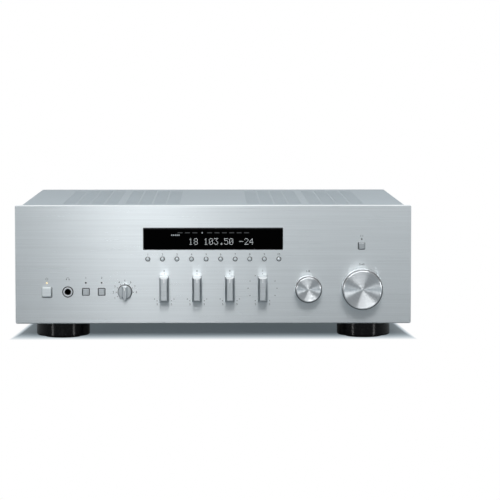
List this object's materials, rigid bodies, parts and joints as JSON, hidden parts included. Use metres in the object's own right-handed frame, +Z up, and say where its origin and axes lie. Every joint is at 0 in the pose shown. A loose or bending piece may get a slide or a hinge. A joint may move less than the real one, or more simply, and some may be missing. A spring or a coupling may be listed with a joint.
{
  "type": "stereo receiver",
  "caption": "Full-width stereo receiver: brushed front with display, knobs and buttons, folded vented case on round feet, rear terminals.",
  "frame": {"origin": "middle of the overall box in X and Y, on the plane that the foot pads stand on", "axes": "+X to the right of a person facing the front, along the width; +Y from the front to the back; +Z up"},
  "size_m": [0.435, 0.382, 0.151],
  "materials": {
    "brushed_aluminium": "horizontal brushed satin",
    "turned_aluminium": "spun",
    "painted_silver": "satin",
    "zinc_steel": "satin",
    "black_steel": "fine texture",
    "black_plastic": "moulded",
    "gloss_black": "gloss",
    "window": "gloss",
    "display_glass": "gloss",
    "circuit_board": "lacquered",
    "rubber": "matt",
    "lamp": "clear lens",
    "zinc_screw": "bright",
    "black_screw": "black oxide",
    "core_steel": "varnished laminations",
    "capacitor_sleeve": "shrink sleeve",
    "black_aluminium": "black anodised",
    "gold_plate": "gold plated",
    "tinned_steel": "tinned",
    "red_plastic": "moulded",
    "black_cap": "moulded"
  },
  "bodies": {
    "root": {"front_panel": "brushed_aluminium", "inner_front": "black_plastic", "display_window": "window", "display_tube": "display_glass", "display_board": "circuit_board", "left_controls": "circuit_board", "tone_controls": "circuit_board", "right_controls": "circuit_board", "volume_motor": "tinned_steel", "phones_jack": "black_plastic", "indicator_lamps": "lamp", "base_pan": "zinc_steel", "rear_panel": "black_steel", "top_cover": "painted_silver", "case_screws": "black_screw", "feet": "gloss_black", "foot_pads": "rubber", "foot_screws": "zinc_screw", "power_transformer": "core_steel", "supply_board": "circuit_board", "filter_capacitors": "capacitor_sleeve", "heat_sink": "black_aluminium", "power_transistors": "black_plastic", "amplifier_board": "circuit_board", "input_board": "circuit_board", "line_sockets": "gold_plate", "speaker_terminals": "black_plastic", "tuner_module": "tinned_steel", "mains_inlet": "black_plastic"},
    "power_button": {"power_button": "brushed_aluminium"},
    "speaker_a_button": {"speaker_a_button": "brushed_aluminium"},
    "speaker_b_button": {"speaker_b_button": "brushed_aluminium"},
    "direct_button": {"direct_button": "brushed_aluminium"},
    "record_knob": {"record_knob": "turned_aluminium"},
    "bass_knob": {"bass_knob": "brushed_aluminium"},
    "treble_knob": {"treble_knob": "brushed_aluminium"},
    "balance_knob": {"balance_knob": "brushed_aluminium"},
    "loudness_knob": {"loudness_knob": "brushed_aluminium"},
    "input_knob": {"input_knob": "turned_aluminium"},
    "volume_knob": {"volume_knob": "turned_aluminium"},
    "ground_nut": {"ground_nut": "zinc_screw"},
    "impedance_switch": {"impedance_switch": "black_plastic"},
    "small_button_1": {"small_button_1": "brushed_aluminium"},
    "small_button_2": {"small_button_2": "brushed_aluminium"},
    "small_button_3": {"small_button_3": "brushed_aluminium"},
    "small_button_4": {"small_button_4": "brushed_aluminium"},
    "small_button_5": {"small_button_5": "brushed_aluminium"},
    "small_button_6": {"small_button_6": "brushed_aluminium"},
    "small_button_7": {"small_button_7": "brushed_aluminium"},
    "small_button_8": {"small_button_8": "brushed_aluminium"},
    "small_button_9": {"small_button_9": "brushed_aluminium"},
    "small_button_10": {"small_button_10": "brushed_aluminium"},
    "terminal_cap_1": {"terminal_cap_1": "red_plastic"},
    "terminal_cap_2": {"terminal_cap_2": "black_cap"},
    "terminal_cap_3": {"terminal_cap_3": "red_plastic"},
    "terminal_cap_4": {"terminal_cap_4": "black_cap"},
    "terminal_cap_5": {"terminal_cap_5": "red_plastic"},
    "terminal_cap_6": {"terminal_cap_6": "black_cap"},
    "terminal_cap_7": {"terminal_cap_7": "red_plastic"},
    "terminal_cap_8": {"terminal_cap_8": "black_cap"}
  },
  "joints": [
    {"name": "volume_turn", "type": "hinge", "parent": "root", "child": "volume_knob", "pos_m": [0.1632, -0.18, 0.0592], "axis": [0, 1, 0], "range_deg": [-150, 150]},
    {"name": "input_turn", "type": "hinge", "parent": "root", "child": "input_knob", "pos_m": [0.1042, -0.18, 0.0592], "axis": [0, 1, 0], "continuous": true},
    {"name": "bass_turn", "type": "hinge", "parent": "root", "child": "bass_knob", "pos_m": [-0.054, -0.18, 0.0595], "axis": [0, 1, 0], "range_deg": [-150, 150]},
    {"name": "treble_turn", "type": "hinge", "parent": "root", "child": "treble_knob", "pos_m": [-0.018, -0.18, 0.0595], "axis": [0, 1, 0], "range_deg": [-150, 150]},
    {"name": "balance_turn", "type": "hinge", "parent": "root", "child": "balance_knob", "pos_m": [0.018, -0.18, 0.0595], "axis": [0, 1, 0], "range_deg": [-150, 150]},
    {"name": "loudness_turn", "type": "hinge", "parent": "root", "child": "loudness_knob", "pos_m": [0.054, -0.18, 0.0595], "axis": [0, 1, 0], "range_deg": [-150, 150]},
    {"name": "record_turn", "type": "hinge", "parent": "root", "child": "record_knob", "pos_m": [-0.0973, -0.18, 0.0557], "axis": [0, 1, 0], "range_deg": [-120, 90]},
    {"name": "power_press", "type": "slide", "parent": "root", "child": "power_button", "axis": [0, 1, 0], "range_m": [0, 0.0025], "stiffness_N_per_m": 400},
    {"name": "speaker_a_press", "type": "slide", "parent": "root", "child": "speaker_a_button", "axis": [0, 1, 0], "range_m": [0, 0.003]},
    {"name": "speaker_b_press", "type": "slide", "parent": "root", "child": "speaker_b_button", "axis": [0, 1, 0], "range_m": [0, 0.003]},
    {"name": "direct_press", "type": "slide", "parent": "root", "child": "direct_button", "axis": [0, 1, 0], "range_m": [0, 0.0015], "stiffness_N_per_m": 400},
    {"name": "cap_1_unscrew", "type": "hinge", "parent": "root", "child": "terminal_cap_1", "pos_m": [-0.114, 0.182, 0.1048], "axis": [0, 1, 0], "range_deg": [0, 720]},
    {"name": "cap_2_unscrew", "type": "hinge", "parent": "root", "child": "terminal_cap_2", "pos_m": [-0.09, 0.182, 0.1048], "axis": [0, 1, 0], "range_deg": [0, 720]},
    {"name": "cap_3_unscrew", "type": "hinge", "parent": "root", "child": "terminal_cap_3", "pos_m": [-0.054, 0.182, 0.1048], "axis": [0, 1, 0], "range_deg": [0, 720]},
    {"name": "cap_4_unscrew", "type": "hinge", "parent": "root", "child": "terminal_cap_4", "pos_m": [-0.03, 0.182, 0.1048], "axis": [0, 1, 0], "range_deg": [0, 720]},
    {"name": "cap_5_unscrew", "type": "hinge", "parent": "root", "child": "terminal_cap_5", "pos_m": [-0.114, 0.182, 0.0668], "axis": [0, 1, 0], "range_deg": [0, 720]},
    {"name": "cap_6_unscrew", "type": "hinge", "parent": "root", "child": "terminal_cap_6", "pos_m": [-0.09, 0.182, 0.0668], "axis": [0, 1, 0], "range_deg": [0, 720]},
    {"name": "cap_7_unscrew", "type": "hinge", "parent": "root", "child": "terminal_cap_7", "pos_m": [-0.054, 0.182, 0.0668], "axis": [0, 1, 0], "range_deg": [0, 720]},
    {"name": "cap_8_unscrew", "type": "hinge", "parent": "root", "child": "terminal_cap_8", "pos_m": [-0.03, 0.182, 0.0668], "axis": [0, 1, 0], "range_deg": [0, 720]},
    {"name": "ground_unscrew", "type": "hinge", "parent": "root", "child": "ground_nut", "pos_m": [0.187, 0.177, 0.0898], "axis": [0, 1, 0], "range_deg": [0, 720]},
    {"name": "impedance_slide", "type": "slide", "parent": "root", "child": "impedance_switch", "axis": [1, 0, 0], "range_m": [0, 0.003]},
    {"name": "small_button_1_press", "type": "slide", "parent": "root", "child": "small_button_1", "axis": [0, 1, 0], "range_m": [0, 0.0005], "stiffness_N_per_m": 600},
    {"name": "small_button_2_press", "type": "slide", "parent": "root", "child": "small_button_2", "axis": [0, 1, 0], "range_m": [0, 0.0005], "stiffness_N_per_m": 600},
    {"name": "small_button_3_press", "type": "slide", "parent": "root", "child": "small_button_3", "axis": [0, 1, 0], "range_m": [0, 0.0005], "stiffness_N_per_m": 600},
    {"name": "small_button_4_press", "type": "slide", "parent": "root", "child": "small_button_4", "axis": [0, 1, 0], "range_m": [0, 0.0005], "stiffness_N_per_m": 600},
    {"name": "small_button_5_press", "type": "slide", "parent": "root", "child": "small_button_5", "axis": [0, 1, 0], "range_m": [0, 0.0005], "stiffness_N_per_m": 600},
    {"name": "small_button_6_press", "type": "slide", "parent": "root", "child": "small_button_6", "axis": [0, 1, 0], "range_m": [0, 0.0005], "stiffness_N_per_m": 600},
    {"name": "small_button_7_press", "type": "slide", "parent": "root", "child": "small_button_7", "axis": [0, 1, 0], "range_m": [0, 0.0005], "stiffness_N_per_m": 600},
    {"name": "small_button_8_press", "type": "slide", "parent": "root", "child": "small_button_8", "axis": [0, 1, 0], "range_m": [0, 0.0005], "stiffness_N_per_m": 600},
    {"name": "small_button_9_press", "type": "slide", "parent": "root", "child": "small_button_9", "axis": [0, 1, 0], "range_m": [0, 0.0005], "stiffness_N_per_m": 600},
    {"name": "small_button_10_press", "type": "slide", "parent": "root", "child": "small_button_10", "axis": [0, 1, 0], "range_m": [0, 0.0005], "stiffness_N_per_m": 600}
  ]
}
